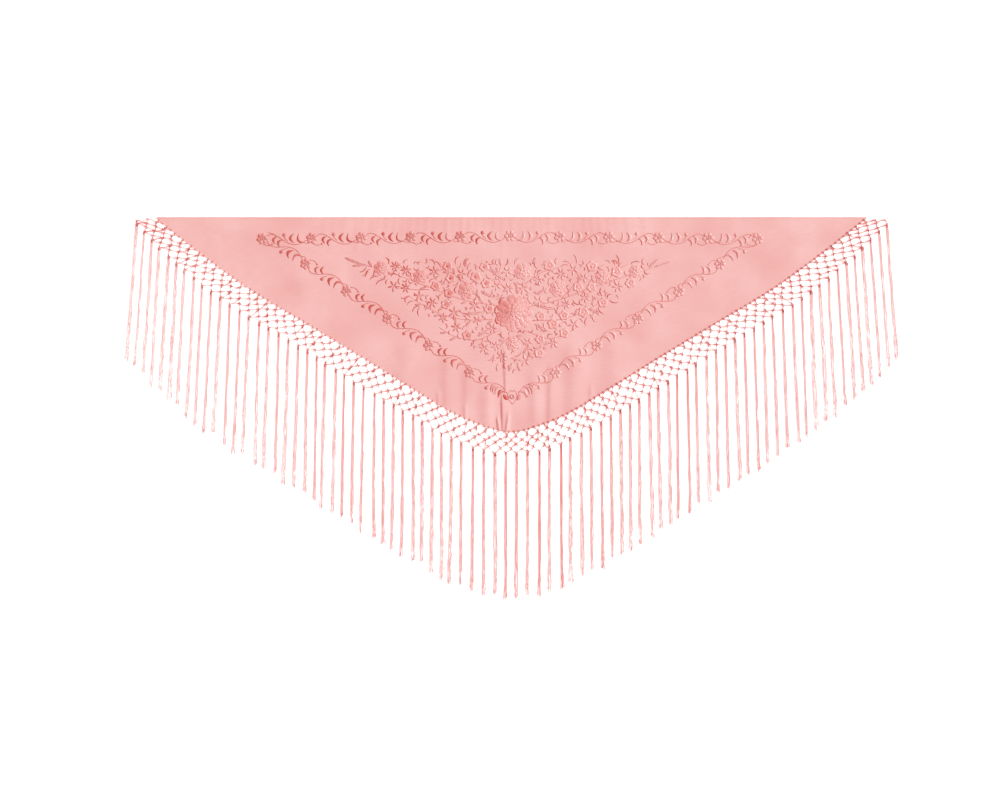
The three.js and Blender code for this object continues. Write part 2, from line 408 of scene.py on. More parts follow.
def hem_route():
    """Round the whole cut, just inside its edge."""
    lower = net_point(np.linspace(-1, 1, HEM_STEPS["lower"]), 0) - (0, HEM_RADIUS)
    back = np.linspace(lower[-1, 0], lower[0, 0], HEM_STEPS["upper"])
    places = np.vstack([lower, np.column_stack([back, np.full(len(back), HEM_RADIUS)]), lower[:1]])
    return in_frame(places, cloth_height(*places.T))


route = hem_route()
hem = tube("rolled_hem", [(route, np.ones(len(route)), 0.0)], HEM_RADIUS, sides=1)
print("hem", triangles(hem), "triangles")

# %% [markdown]
# ## The knotted net
#
# The maker threads cords through the hem and ties neighbours together, row by row, so each row of knots
# sits half a column off the last. A sheet with holes would be quicker, but it is flat where real cords
# cross and twist. Every cord here is a doubled thread that bows a little between its knots, and the
# knots are never quite in line.

# %% Net
COLUMNS = 40
ROWS = (  # share of the way down the net, offset in columns, kind of knot
    (0.17, 0.5, "large"),
    (0.36, 0.0, "small"),
    (0.57, 0.5, "large"),
    (0.785, 0.0, "small"),
    (1.0, 0.5, "strand"),
)
SIDES = {-1: "left", 1: "right"}
KNOT_SCATTER = 1.7


def knot_places(side):
    """The knots of one side: a list of rows, each a list of (across, down)."""
    rows = []
    for row, offset, _ in ROWS:
        line = []
        for i in range(COLUMNS if offset else COLUMNS + 1):
            across, down = net_point((i + offset) / COLUMNS, row)
            middle = i + offset == 0
            across += 0 if middle else rng.uniform(-KNOT_SCATTER, KNOT_SCATTER)
            line.append((side * across, down + rng.uniform(-KNOT_SCATTER, KNOT_SCATTER)))
        rows.append(line)
    return rows


net_knots = {side: knot_places(side) for side in SIDES}
print(sum(len(line) for rows in net_knots.values() for line in rows), "knots below the hem")

# %% Cords of the net
HEM_LOOPS = (-0.25, 0.25)  # where two cords leave the hem, in columns from the knot that they go to
CORD_POINTS = 5
CORD_LIFT = 1.1
THREAD_RADIUS = 0.6
THREAD_APART = 0.95
PINCH = 0.35  # how far apart the two threads still are at a knot, as a share of that
BOW = 2.2
UNEVEN_TONE = 0.35  # how far cords differ in tone, beside the darkest ones in the corners
STRAIGHT_CORDS = 0.4  # share of the knots with a cord straight down to the knot two rows below
CORNER = (640, 740)  # across, where the cords grow tighter and darker towards a corner


def cord_routes(start, end, start_height=CORD_LIFT):
    """The two threads of a cord from one knot to another."""
    start, end = np.array(start), np.array(end)
    along = (end - start) / np.linalg.norm(end - start)
    aside = np.array([-along[1], along[0]])
    steps = np.linspace(0, 1, CORD_POINTS)
    swell = np.sin(math.pi * steps)
    bow = rng.uniform(-BOW, BOW)
    tightest = float(smooth_step((abs(start[0]) - CORNER[0]) / (CORNER[1] - CORNER[0])))
    tone = UNEVEN_TONE * rng.random() + (1 - UNEVEN_TONE) * tightest
    heights = start_height + (CORD_LIFT - start_height) * steps
    routes = []
    for sign in (-1, 1):
        offset = sign * THREAD_APART * (PINCH + (1 - PINCH) * swell) + bow * swell
        flat = start + np.outer(steps, end - start) + np.outer(offset, aside)
        routes.append((in_frame(flat, heights), np.ones(CORD_POINTS), tone))
    return routes


def net_cords(side):
    """All the cords of one side, from the hem to the lowest knots."""
    knots = net_knots[side]
    routes = []
    for i in range(COLUMNS):
        for loop in HEM_LOOPS:
            top = net_point((i + 0.5 + loop) / COLUMNS, 0) * (side, 1)
            routes += cord_routes(top, knots[0][i], start_height=float(cloth_height(*top)))
    for upper, lower in zip(knots, knots[1:]):
        whole, half = (upper, lower) if len(upper) > len(lower) else (lower, upper)
        for i in range(COLUMNS):
            for j in (i, i + 1):
                routes += cord_routes(whole[j], half[i])
    for upper, lower in ((knots[0], knots[2]), (knots[2], knots[4])):
        for start, end in zip(upper, lower):
            if rng.random() < STRAIGHT_CORDS:
                routes += cord_routes(start, end)
    return tube(f"net_cords_{SIDES[side]}", routes, THREAD_RADIUS)


net_left, net_right = (net_cords(side) for side in SIDES)
print("net cords", triangles(net_left), triangles(net_right), "triangles")

# %% [markdown]
# ## The knots
#
# A net knot is two turns of cord pulled tight side by side, which point from the hem to the fringe. One
# is modelled from two stretched rings with a third round their waist, and copies of it are set where the
# cords meet: longest where a strand of the fringe hangs, smallest on the hem.

# %% Knots
KNOT_TURNS = (  # across, radius of the ring, of its cord, corners, turn about each axis, stretch
    (-1.4, 1.5, 0.8, 7, (0, 90, 0), (1, 2.3, 0.8)),
    (1.4, 1.5, 0.8, 7, (0, 90, 0), (1, 2.3, 0.8)),
    (0, 1.9, 0.7, 6, (90, 0, 0), (1.2, 1, 0.7)),
)

deselect()
turns = []
for place, ring, cord, corners, turned, stretch in KNOT_TURNS:
    bpy.ops.mesh.primitive_torus_add(
        major_radius=ring * MM,
        minor_radius=cord * MM,
        major_segments=corners,
        minor_segments=3,
        location=(place * MM, 0, 0),
        rotation=[math.radians(angle) for angle in turned],
    )
    bpy.ops.transform.resize(value=stretch)
    turns.append(bpy.context.object)
knot_model = join(turns, "knot_model")
new_map(knot_model.data)
edit_all(knot_model, bpy.ops.uv.cube_project, cube_size=2 * MM)
knot_model.data.attributes.new("tone", "FLOAT", "POINT")
print("one knot", triangles(knot_model), "triangles")

# %% Knots in their places
KNOT_SIZES = {"hem": 0.75, "small": 0.95, "large": 1.15, "strand": 1.1}
KNOT_LIFT = 2.5
HEM_KNOT_LIFT = 0.7  # over the cloth
SIZE_SPREAD = 0.12
TURN_SPREAD = 0.35
STRAND_KNOT = (0.75, 1.1, 1, 1)  # a narrow, long one


def tie_knots(side):
    """All the knots of one side, as one object, each turned to point from the hem to the fringe."""
    places = []
    for (_, offset, kind), line in zip(ROWS, net_knots[side]):
        for i, place in enumerate(line):
            if side > 0 or abs(place[0]) > 1:
                places.append((place, kind, (i + offset) / COLUMNS))
    for i in range(COLUMNS):
        for loop in HEM_LOOPS:
            reach = (i + 0.5 + loop) / COLUMNS
            places.append((net_point(reach, 0) * (side, 1), "hem", reach))
    copies = []
    for (across, down), kind, reach in places:
        copy = copy_of(knot_model)
        lift = HEM_KNOT_LIFT + float(cloth_height(across, down)) if kind == "hem" else KNOT_LIFT
        size = KNOT_SIZES[kind] * rng.uniform(1 - SIZE_SPREAD, 1 + SIZE_SPREAD)
        before, after = net_point(reach - 0.01, 0), net_point(reach + 0.01, 0)
        slope = math.atan2(before[1] - after[1], after[0] - before[0])
        slope = 0 if kind == "strand" else side * slope
        turn = Matrix.Rotation(slope + rng.uniform(-TURN_SPREAD, TURN_SPREAD), 4, "Z")
        shape = Matrix.Diagonal(STRAND_KNOT if kind == "strand" else (1, 1, 1, 1))
        place = Matrix.Translation((across * MM, TOP_EDGE - down * MM, lift * MM))
        copy.matrix_world = place @ turn @ Matrix.Scale(size, 4) @ shape
        copies.append(copy)
    made = join(copies, f"net_knots_{SIDES[side]}")
    bpy.ops.object.shade_smooth()
    return made


knots_left, knots_right = (tie_knots(side) for side in SIDES)
bpy.data.objects.remove(knot_model)
print("knots", triangles(knots_left), triangles(knots_right), "triangles")

# %% [markdown]
# ## The fringe
#
# Eighty strands hang from the lowest knots. A strand is a bundle of silky yarn ends, lightly twisted,
# that loosens towards the tip, where no two ends are quite as long. Each end is its own thin thread
# here, because a bundle of threads catches the light along its length as one thick tube never does.

# %% Strands
STRAND = {"length": 306, "uneven": 14, "outer_shorter": 18, "lean": 4.0, "lean_power": 1.5, "wander": 0.5}
BUNDLE = {"threads": 16, "points": 26, "top": 3.5, "tip": 5.2, "rise": 0.3, "turns": (0.3, 1.0)}
TIGHT = {"widest": 1.1, "narrower": 0.45, "darker": 0.6}  # what a tightly twisted strand is
FRAY = {"from": 0.86, "aside": 2.2, "opening": 2.2}
KNOT_SHADE = {"tone": 0.4, "reach": 0.16}
THREAD_TONE = {"least": 0.2, "spread": 0.22, "corner": 0.85}
NEXT_THREAD = 2.4  # radians round the strand, which spreads its threads evenly
OFF_FLOOR = 0.05
YARN_RADIUS = 0.46


def strand_routes(root, side, reach):
    """The threads of one strand, from its knot to its frayed tip."""
    lean = STRAND["lean"] * reach ** STRAND["lean_power"] + rng.uniform(-1, 1) * STRAND["wander"]
    way = np.array([side * math.sin(math.radians(lean)), math.cos(math.radians(lean))])
    aside = np.array([way[1], -way[0]])
    length = STRAND["length"] - STRAND["outer_shorter"] * reach**2 - STRAND["uneven"] * rng.random()
    steps = np.linspace(0, 1, BUNDLE["points"])
    sway = rng.uniform(-1.2, 1.2) * np.sin(math.pi * steps * rng.uniform(0.8, 1.6)) * steps
    tightness = rng.random()  # a tighter strand is narrower and darker
    half_width = BUNDLE["top"] + (BUNDLE["tip"] - BUNDLE["top"]) * steps**0.8
    half_width = half_width * (TIGHT["widest"] - TIGHT["narrower"] * tightness)
    half_width *= 1 + 0.06 * np.sin(steps * rng.uniform(14, 24) + rng.uniform(0, 6))
    twist = rng.uniform(*BUNDLE["turns"]) * 2 * math.pi * steps
    loose = smooth_step((steps - FRAY["from"]) / (1 - FRAY["from"]))
    opening = rng.uniform(0, FRAY["opening"])  # the two halves of the strand part a little at its end
    near_knot = KNOT_SHADE["tone"] * np.exp(-steps / KNOT_SHADE["reach"])
    widths = np.interp(steps, (0, 0.1, 0.9, 1), (0.8, 1, 1, 0.7))
    routes = []
    for k in range(BUNDLE["threads"]):
        angle = NEXT_THREAD * k + twist + 0.6 * np.sin(steps * rng.uniform(5, 12) + rng.uniform(0, 6))
        reach_out = math.sqrt((k + 0.6) / BUNDLE["threads"])
        offset = half_width * reach_out * np.cos(angle) + sway
        offset = offset + loose * (rng.uniform(-1, 1) * FRAY["aside"] + (opening if k % 2 else -opening))
        rise = BUNDLE["rise"] * reach_out * np.sin(angle) * (1 - 0.5 * loose)
        far = steps * (length + rng.uniform(-7, 3))
        flat = root + np.outer(far, way) + np.outer(offset, aside)
        heights = YARN_RADIUS + BUNDLE["rise"] + rise + OFF_FLOOR
        tone = TIGHT["darker"] * tightness**2.5 + THREAD_TONE["spread"] * rng.random() ** 2
        tone = (tone + THREAD_TONE["least"]) * (1 - THREAD_TONE["corner"] * reach)
        routes.append((in_frame(flat, heights), widths, tone + near_knot))
    return routes


def hang_strands(side):
    routes = []
    for i, root in enumerate(net_knots[side][-1]):
        routes += strand_routes(np.array(root), side, (i + 0.5) / COLUMNS)
    return tube(f"strands_{SIDES[side]}", routes, YARN_RADIUS)


strands_left, strands_right = (hang_strands(side) for side in SIDES)
print("strands", triangles(strands_left), triangles(strands_right), "triangles")

# %% [markdown]
# ## Satin stitch
#
# The embroidery is worked in floss over a little padding, so each petal, leaf and crescent is a low
# mound with a shine across it. Each kind is a plain disc at first, and these outlines draw it out, as
# a paper pattern is drawn before it is cut: x runs from one tip to the other, y across and z up.
# On a crescent the ridge lies near the hollow side, because the longest stitches start there. A leaf is
# two half leaves that meet at the vein, as an embroiderer works it, and a cup has a raised rim of five
# lobes round a hollow.


# %% Outlines
def half_leaf_outline(x, y, z):
    return x, (y + 0.5) * np.clip(4 * x * (1 - x), 0, 1) ** 0.3 + 0.03, z


def seed_outline(x, y, z):
    return x, y * np.clip(4 * x * (1 - x), 0, 1) ** 0.35, z


def petal_outline(x, y, z):
    """A fan with a ruffled end, lower towards its foot so that the petals overlap like tiles."""
    ruffle = 0.05 * np.clip((x - 0.5) / 0.4, 0, 1) * np.cos(26 * y)
    return x + ruffle, y * (0.62 + 0.46 * x), z * (0.45 + 0.55 * x)


def crescent_outline(hollow):
    def outline(x, y, z):
        bend = 4 * np.clip(x * (1 - x), 0, 0.25)
        fullness = bend**0.45
        share = y / np.maximum(np.sqrt(bend), 0.05)
        share = share - 0.2 * np.clip((z - 0.5) / 0.4, 0, 1)
        middle = bend * (1 + hollow) / 2
        return x, middle + share * fullness * (1 - hollow), z

    return outline


def lobed_outline(lobes, depth):
    """A round with lobes, as of petals that are sewn close together."""

    def outline(x, y, z):
        swell = 1 - depth + depth * np.abs(np.cos(lobes / 2 * np.arctan2(y, x - 0.5))) ** 0.7
        return 0.5 + (x - 0.5) * swell, y * swell, z

    return outline


def round_outline(x, y, z):
    return x, y, z


middle = float(crescent_outline(0.44)(0.5, 0, 0)[1])
print("a crescent bows", round(middle, 2), "of its depth at its middle")

# %% [markdown]
# ### The mounds
#
# A mound could be sculpted, but a disc that is extruded, inset and raised in edit mode has few faces and
# a clean edge, which matters when it is sewn a thousand times. One of each kind is modelled here, of
# unit size, and its copies are turned and sized one by one.

# %% Mounds
PROFILES = {  # height of the edge, then how far each inset goes in and up
    "round": (0.3, (0.12, 0.45), (0.17, 0.2)),
    "flat": (0.42, (0.06, 0.45), (0.22, 0.08)),
    "rimmed": (0.5, (0.07, 0.5), (0.09, -0.05), (0.1, -0.6)),
}
RING = {"major_radius": 0.34, "minor_radius": 0.16, "major_segments": 10, "minor_segments": 5}
RING_RISE = 0.3
RING_HEIGHT = 2.2


def finish_mound(name, outline, along=False):
    """The edited disc, moved to x = 0 to 1, with its floss UV map and its heights, drawn to an outline.

    The second number of the UV map runs with the threads, so it is the length of a petal, along,
    and otherwise the width of the mound."""
    mound = bpy.context.object
    mesh = mound.data
    mound.name = mesh.name = f"{name}_mound"
    points = read_points(mesh)
    points[:, 0] += 0.5
    order = (1, 0) if along else (0, 1)
    new_map(mesh).data.foreach_set("uv", points[corner_points(mesh)][:, order].ravel())
    mesh.attributes.new("rise", "FLOAT", "POINT").data.foreach_set("value", points[:, 2])
    mesh.attributes.new("deep", "FLOAT", "POINT")
    write_points(mesh, np.stack(outline(*points.T), axis=1))
    bpy.ops.object.shade_smooth()
    return mound


def model_mound(name, outline, corners, profile, along=False):
    """A padded shape of unit length, width and height, from x = 0 to x = 1."""
    edge, *insets = PROFILES[profile]
    deselect()
    bpy.ops.mesh.primitive_circle_add(vertices=corners, radius=0.5, fill_type="NGON")
    bpy.ops.object.mode_set(mode="EDIT")
    bpy.ops.mesh.select_mode(type="FACE")
    bpy.ops.mesh.select_all(action="SELECT")
    bpy.ops.mesh.extrude_region_move(TRANSFORM_OT_translate={"value": (0, 0, edge)})
    for inset, rise in insets:
        bpy.ops.mesh.inset(thickness=inset)
        bpy.ops.transform.translate(value=(0, 0, rise))
    bpy.ops.mesh.poke()
    bpy.ops.object.mode_set(mode="OBJECT")
    edit_all(bpy.context.object, bpy.ops.mesh.normals_make_consistent, inside=False)
    return finish_mound(name, outline, along)


def model_ring():
    """The raised ring in the middle of a small flower."""
    deselect()
    bpy.ops.mesh.primitive_torus_add(location=(0, 0, RING_RISE), **RING)
    bpy.ops.object.transform_apply(location=True)
    bpy.ops.transform.resize(value=(1, 1, RING_HEIGHT), center_override=(0, 0, 0))
    bpy.ops.object.transform_apply(scale=True)
    return finish_mound("ring", round_outline)


MOUNDS = {  # outline, corners of the disc, profile
    "half_leaf": (half_leaf_outline, 10, "flat"),
    "seed": (seed_outline, 8, "round"),
    "petal": (petal_outline, 16, "flat"),
    "cup": (lobed_outline(5, 0.38), 30, "rimmed"),
    "crescent": (crescent_outline(0.44), 18, "round"),
    "slim_crescent": (crescent_outline(0.6), 16, "round"),
    "dot": (round_outline, 8, "round"),
}
mounds = {kind: model_mound(kind, *shape, along=kind == "petal") for kind, shape in MOUNDS.items()}
mounds["ring"] = model_ring()
print({kind: triangles(mound) for kind, mound in mounds.items()})

# %% [markdown]
# ## Laying the stitches
#
# A motif is a list of mounds, each with its place, size and turn. Stems are thin cords of stem
# stitch. Everything is set out on the flat first, and then lifted on to the folds of the cloth. Each
# mound keeps in the attribute deep how dark its floss is painted: painted shade on the left half, which
# turns away from the lamp, and a random part besides.

# %% Painted shade on the left, and uneven dye
SHADE_AND_DYE_KINDS = {  # how dark the painted shade on the left and the random dye go, and how far left of the middle the shade is full
    "crescent": (0.95, 70),
    "slim_crescent": (0.9, 260),
    "dot": (0.9, 70),
    "seed": (0.6, 170),
    "petal": (0.3, 170),
    "stem": (0.7, 170),
}
OTHER_KINDS = (0.35, 170)
UNEVEN_DYE = 0.25


def shade_and_dye_depth(kind, across):
    """Painted shade on the left half, most of all in the crescents, and a random part, so that no two mounds
    are quite alike.
    """
    depth, far_left = SHADE_AND_DYE_KINDS.get(kind, OTHER_KINDS)
    left = float(smooth_step(-across / far_left))
    return depth * (left * rng.uniform(1 - UNEVEN_DYE, 1) + rng.uniform(0, UNEVEN_DYE))


print(len(SHADE_AND_DYE_KINDS), "kinds of stitch have a depth of their own on the left")

# %% Sewing
SINK = 0.15  # how far a mound reaches into the cloth
STEM_RADIUS = 0.6
STEM_LIFT = 0.24
STEM_STEP = 4
PETAL_SHADE = {"own": 0.75, "left": 0.6, "turn": 25}  # painted shade on a flower's petals: share of its own depth, more on the left, that side turned a little upward


def along_turn(across, down, turn, reach):
    """The place at this distance along a turn."""
    return across + reach * math.cos(math.radians(turn)), down + reach * math.sin(math.radians(turn))


class Panel:
    """A stretch of embroidery: its mounds and its stems, in millimetres across and down."""

    def __init__(self, name):
        self.name = name
        self.copies = []
        self.stems = []

    def sew(self, kind, across, down, length, width, height, turn, flip=1, deep=None):
        """One mound that starts at a place and runs along the turn, in degrees from across to down."""
        copy = copy_of(mounds[kind])
        place = Matrix.Translation((across * MM, TOP_EDGE - down * MM, 0))
        spin = Matrix.Rotation(-math.radians(turn), 4, "Z")
        sizes = Matrix.Diagonal((length * MM, flip * width * MM, height * MM, 1))
        copy.matrix_world = place @ spin @ sizes
        floss = copy.data.uv_layers["floss"].data
        uv = np.empty(len(floss) * 2)
        floss.foreach_get("uv", uv)
        uv = uv.reshape(-1, 2) * ((width, length) if kind == "petal" else (length, width))
        floss.foreach_set("uv", uv.ravel())
        # painted shade of the left half, with a random part, unless a depth is given
        deep = shade_and_dye_depth(kind, across) if deep is None else deep
        copy.data.attributes["deep"].data.foreach_set("value", np.full(len(copy.data.vertices), deep))
        self.copies.append(copy)

    def round(self, kind, across, down, size, height, deep=None):
        """A dot, a ring or a small flower on its middle."""
        turn = rng.uniform(0, 360)
        self.sew(kind, *along_turn(across, down, turn, -size / 2), size, size, height, turn, deep=deep)

    def leaf(self, across, down, length, width, turn):
        for flip in (-1, 1):
            self.sew("half_leaf", across, down, length, width / 2, 1.1, turn, flip)

    def arc(self, kind, start, end, bow, height, flip, deep=None):
        """A crescent from one tip to the other."""
        (x0, y0), (x1, y1) = start, end
        turn = math.degrees(math.atan2(y1 - y0, x1 - x0))
        self.sew(kind, x0, y0, math.hypot(x1 - x0, y1 - y0), bow, height, turn, flip, deep)

    def petals(self, across, down, ring, start=0, kind="petal", deep=None, loose=0, left=0.13):
        """A ring of petals round a place, with painted shade on the left petals of the flower.

        The ring is how many petals, how far out they begin, and their length, width and height."""
        count, inner, length, width, height = ring
        own = shade_and_dye_depth(kind, across) if deep is None else deep
        for k in range(count):
            turn = start + 360 * k / count + rng.uniform(-loose, loose)
            # painted shade on the petals that face left and a little up
            left_side = max(0, -math.cos(math.radians(turn - PETAL_SHADE["turn"])))
            shade = min(1, PETAL_SHADE["own"] * own + (left + PETAL_SHADE["left"] * own) * left_side)
            spot = along_turn(across, down, turn, inner)
            self.sew(kind, *spot, length, width, height, turn, deep=shade)

    def stem(self, points, thin=0.55):
        """A stem through the points, thinner towards its end."""
        line = even_line(smooth_through(points, 12))
        steps = np.linspace(0, 1, max(5, int(line.length / STEM_STEP)))
        flat = line(steps)
        route = in_frame(flat, np.zeros(len(flat)))
        # the stem's tone is the painted shade of the left half
        self.stems.append((route, 1 - (1 - thin) * steps, shade_and_dye_depth("stem", flat[0, 0])))

    def finish(self):
        """The mounds and the stems as two objects that lie on the cloth."""
        mounded = join(self.copies, f"{self.name}_stitches")
        edit_all(mounded, bpy.ops.mesh.normals_make_consistent, inside=False)
        stems = tube(f"{self.name}_stems", self.stems, STEM_RADIUS)
        for thing, lift in ((mounded, -SINK), (stems, STEM_LIFT)):
            points = read_points(thing.data)
            ground = cloth_height(points[:, 0] / MM, (TOP_EDGE - points[:, 1]) / MM)
            points[:, 2] += (ground + lift) * MM
            write_points(thing.data, points)
        print(self.name, len(self.copies), "mounds,", triangles(mounded), "+", triangles(stems), "triangles")
        return mounded, stems


print("a stem is", 2 * STEM_RADIUS, "mm thick, and a mound reaches", SINK, "mm into the cloth")

# %% [markdown]
# ## The scroll border
#
# A stem waves along the edge of the embroidered triangle. Each repeat has a flower of six petals, two
# small crescents on the inner side, and a dot and two larger crescents on the outer side. It is set out
# once, along and out from a line, and serves both borders of both halves, turned over where it has to
# be, as an embroiderer pricks one paper pattern and uses it again and again.

# %% Border
SCROLL = (  # along the repeat, out from its line
    (7, 3), (18, 8.8), (30, 5.5), (40, -1.3), (52, -9), (67, -13), (80, -10.5), (90, -5), (97, -1)
)
CRESCENTS = (  # kind, then along and out of each tip, then the depth of the bow
    ("crescent", (27, -11.4), (30.6, 4), 8.5),
    ("crescent", (34.8, -17), (42.6, -2.7), 8.2),
    ("crescent", (66, -9.5), (66, 10), 10.8),
    ("slim_crescent", (88.5, -9), (76, 10.3), 11.5),
)
BORDER_DOT = {"along": 45.4, "out": 7.4, "size": 7.2}
BORDER_FLOWER = (6, 3.4, 8.8, 8.4, 1.3)  # petals, how far out they begin, length, width, height
BORDER_RING = 6.5
BORDER_RISE = 1.5  # height of the crescents and rings
BORDER_LINES = (  # middle, then from across, down, to across, down, repeats, which side is outward
    (-3, -512, 45, 0, 39, 5, 1),
    (3, -513, 41, -4, 378, 6, -1),
)

border = Panel("border")


def border_flower(across, down):
    """Six round petals about a small ring."""
    # painted shade of the left half, at half strength
    deep = 0.5 * shade_and_dye_depth("dot", across)
    border.petals(across, down, BORDER_FLOWER, rng.uniform(0, 60), "dot", deep)
    border.round("ring", across, down, BORDER_RING, BORDER_RISE, deep)


def border_line(centre, x0, y0, x1, y1, repeats, outward, mirror):
    """A line of repeats for the left half, or for the right half where mirror is -1."""
    run = math.hypot(x1 - x0, y1 - y0)
    ax, ay = (x1 - x0) / run, (y1 - y0) / run
    pitch = run / repeats
    for k in range(repeats):

        def place(along, out):
            along += k * pitch
            aside = x0 + ax * along + outward * ay * out
            return centre + mirror * aside, y0 + ay * along - outward * ax * out

        at_corner = k == 0 and outward < 0  # the top line has already filled the corner
        if not at_corner:
            border_flower(*place(0, 0))
        for kind, start, end, depth in CRESCENTS[2:] if at_corner else CRESCENTS:
            border.arc(kind, place(*start), place(*end), depth, BORDER_RISE, outward * mirror)
        border.round("dot", *place(BORDER_DOT["along"], BORDER_DOT["out"]), BORDER_DOT["size"], 1.6)
        border.stem([place(*point) for point in SCROLL], thin=0.85)
        border.stem([place(45, 4.5), place(47, 0), place(53, -6)], thin=0.6)
        border.stem([place(2, -11), place(12, -15), place(20, -12.5)], thin=0.8)
        border.round("dot", *place(20.5, -12), 3.8, 1.2)
        if k > 0:
            border.stem([place(-3, -9), place(-9, -11), place(-14, -9)], thin=0.6)


for mirror in (1, -1):
    for row in BORDER_LINES:
        border_line(*row, mirror)
border_flower(-3, 39)
print(len(border.copies), "mounds and", len(border.stems), "stems in the border")

# %% [markdown]
# At the tip the two scrolls meet in a small ring inside a leaf-shaped frame, with nested crescents on
# both sides of it.

# %% Border tip
TIP = {"across": 2, "down": 371}
TIP_CRESCENTS = (  # kind, then across and down of each tip, depth of the bow, painted shade on the left
    ("crescent", (11.7, -9), (29.6, 2.5), 12, 1.0),
    ("slim_crescent", (22, -20), (35, -4), 8.0, 0.3),
    ("slim_crescent", (32, -25), (44, -9), 8.0, 0.4),
)
TIP_FRAME = ((0, 16), (6, 9), (9.5, 0), (8, -8), (3.5, -13), (0, -10))
TIP_SEED = {"across": 19, "down": -4, "length": 15, "width": 8.5}


def about_tip(across, down, side=1):
    return TIP["across"] + side * across, TIP["down"] + down


for side in (-1, 1):
    border.stem([about_tip(*point, side) for point in TIP_FRAME], thin=0.9)
    turn = math.degrees(math.atan2(11, -9 * side))
    spot = about_tip(TIP_SEED["across"], TIP_SEED["down"], side)
    sizes = (TIP_SEED["length"], TIP_SEED["width"], BORDER_RISE)
    # painted shade: the seed and the crescents of the left side are darker
    border.sew("seed", *spot, *sizes, turn, deep=1.0 if side < 0 else 0.3)
    for kind, start, end, bow, left_shade in TIP_CRESCENTS:
        start, end = about_tip(*start, side), about_tip(*end, side)
        border.arc(kind, start, end, bow, BORDER_RISE, side, left_shade if side < 0 else 0.2)
border.round("ring", *about_tip(0, 0), 11, 1.6, deep=0.2)
border_stitches, border_stems = border.finish()

# %% [markdown]
# ## The bouquet
#
# The middle of the back carries a triangular spray of flowers: one large peony, a few roses, and many
# small cups and stars among leaves. To list every stitch would take very long, so only the branches
# and the large flowers are listed. The small ones and the leaves then fill the room between them, with
# a fixed seed so that the spray grows the same each time.

# %% Bouquet layout
PEONY = {"across": 6, "down": 199, "radius": 39}
PEONY_RINGS = (  # count, inner, length, width, height
    (16, 22, 16, 16, 0.85),
    (14, 17.5, 15, 14, 1.05),
    (12, 13, 14.5, 13, 1.25),
    (11, 9, 12.5, 11, 1.45),
    (9, 5, 11, 9.5, 1.65),
    (6, 0.5, 8.5, 7.5, 1.9),
)
PEONY_EDGE = (  # across and down of the tips of the crescents along its left side, painted dark as its shade
    ((-11, 167), (-26, 181)),
    ((-26, 182), (-31, 202)),
    ((-31, 206), (-23, 222)),
)
ROSES = (  # across, down, size
    (96, 148, 35),
    (188, 126, 30),
    (256, 112, 27),
    (24, 113, 35),
    (-92, 152, 37),
    (-188, 124, 31),
    (-270, 106, 29),
    (4, 262, 31),
)
ROSE_RINGS = (  # count, inner, length, width, height, for a rose of unit size
    (7, 0.19, 0.31, 0.4, 0.9),
    (6, 0.1, 0.26, 0.32, 1.2),
    (5, 0.02, 0.2, 0.22, 1.6),
)
BRANCHES = (  # places across and down
    ((34, 186), (96, 172), (160, 148), (226, 126), (292, 104)),
    ((44, 214), (100, 212), (150, 196), (198, 166)),
    ((34, 236), (68, 250), (104, 246), (138, 226)),
    ((12, 158), (34, 134), (64, 114), (100, 104)),
    ((104, 168), (130, 140), (160, 114), (192, 98)),
    ((194, 138), (216, 112), (244, 96)),
    ((10, 246), (34, 272), (32, 300)),
    ((-26, 184), (-96, 172), (-168, 146), (-236, 120), (-306, 98)),
    ((-38, 212), (-98, 212), (-152, 198), (-212, 164)),
    ((-30, 236), (-70, 254), (-114, 248), (-150, 228)),
    ((-8, 156), (-26, 128), (-22, 98)),
    ((-62, 174), (-92, 140), (-126, 114), (-150, 94)),
    ((-170, 150), (-204, 150), (-240, 142)),
    ((-202, 134), (-222, 110), (-238, 92)),
    ((-4, 246), (-28, 276), (-14, 304)),
)
LONG_LEAVES = (  # across, down, length, width, turn
    (294, 104, 40, 5.5, -20), (284, 104, 30, 5.0, -42), (-308, 98, 40, 5.5, 201), (-298, 98, 32, 5.0, 174),
    (-14, 130, 36, 6.5, 218), (-22, 100, 15, 4.5, 262), (44, 98, 17, 4.5, -66), (2, 300, 20, 5.0, 112),
    (12, 300, 20, 5.0, 72), (58, 184, 34, 7.0, 10), (-56, 196, 34, 7.0, 172), (52, 222, 30, 6.5, 32),
    (-44, 232, 30, 6.5, 150), (-36, 166, 30, 6.5, 205), (52, 160, 26, 6.0, -30),
)
FIELD = ((-318, 93), (306, 95), (6, 324))  # corners of the spray
FLOWERS = {"tries": 6000, "room": 1.6, "cups": 0.48, "across": (-300, 290), "down": (98, 318)}
FLOWER_SIZES = (20, 25)
STAR_SIZE = 1.08  # of a cup's
SHORTEST_STEM = 9
LEAVES = {"tries": 6000, "room": 1.2, "across": (-306, 296), "down": (96, 320), "narrowest": 4.2}
BRANCH_LEAF_STEP = 11

bouquet = Panel("bouquet")
grow = random.Random(21)
taken = [(PEONY["across"], PEONY["down"], PEONY["radius"])]
taken += [(across, down, size / 2) for across, down, size in ROSES]


def is_free(across, down, room):
    """Whether a disc of this radius would lie clear of all that is sewn so far."""
    discs = np.array(taken)
    return bool(np.all(np.hypot(discs[:, 0] - across, discs[:, 1] - down) > discs[:, 2] + room))


def in_field(across, down):
    ends = zip(FIELD, FIELD[1:] + FIELD[:1])
    return all((bx - ax) * (down - ay) - (by - ay) * (across - ax) > 0 for (ax, ay), (bx, by) in ends)


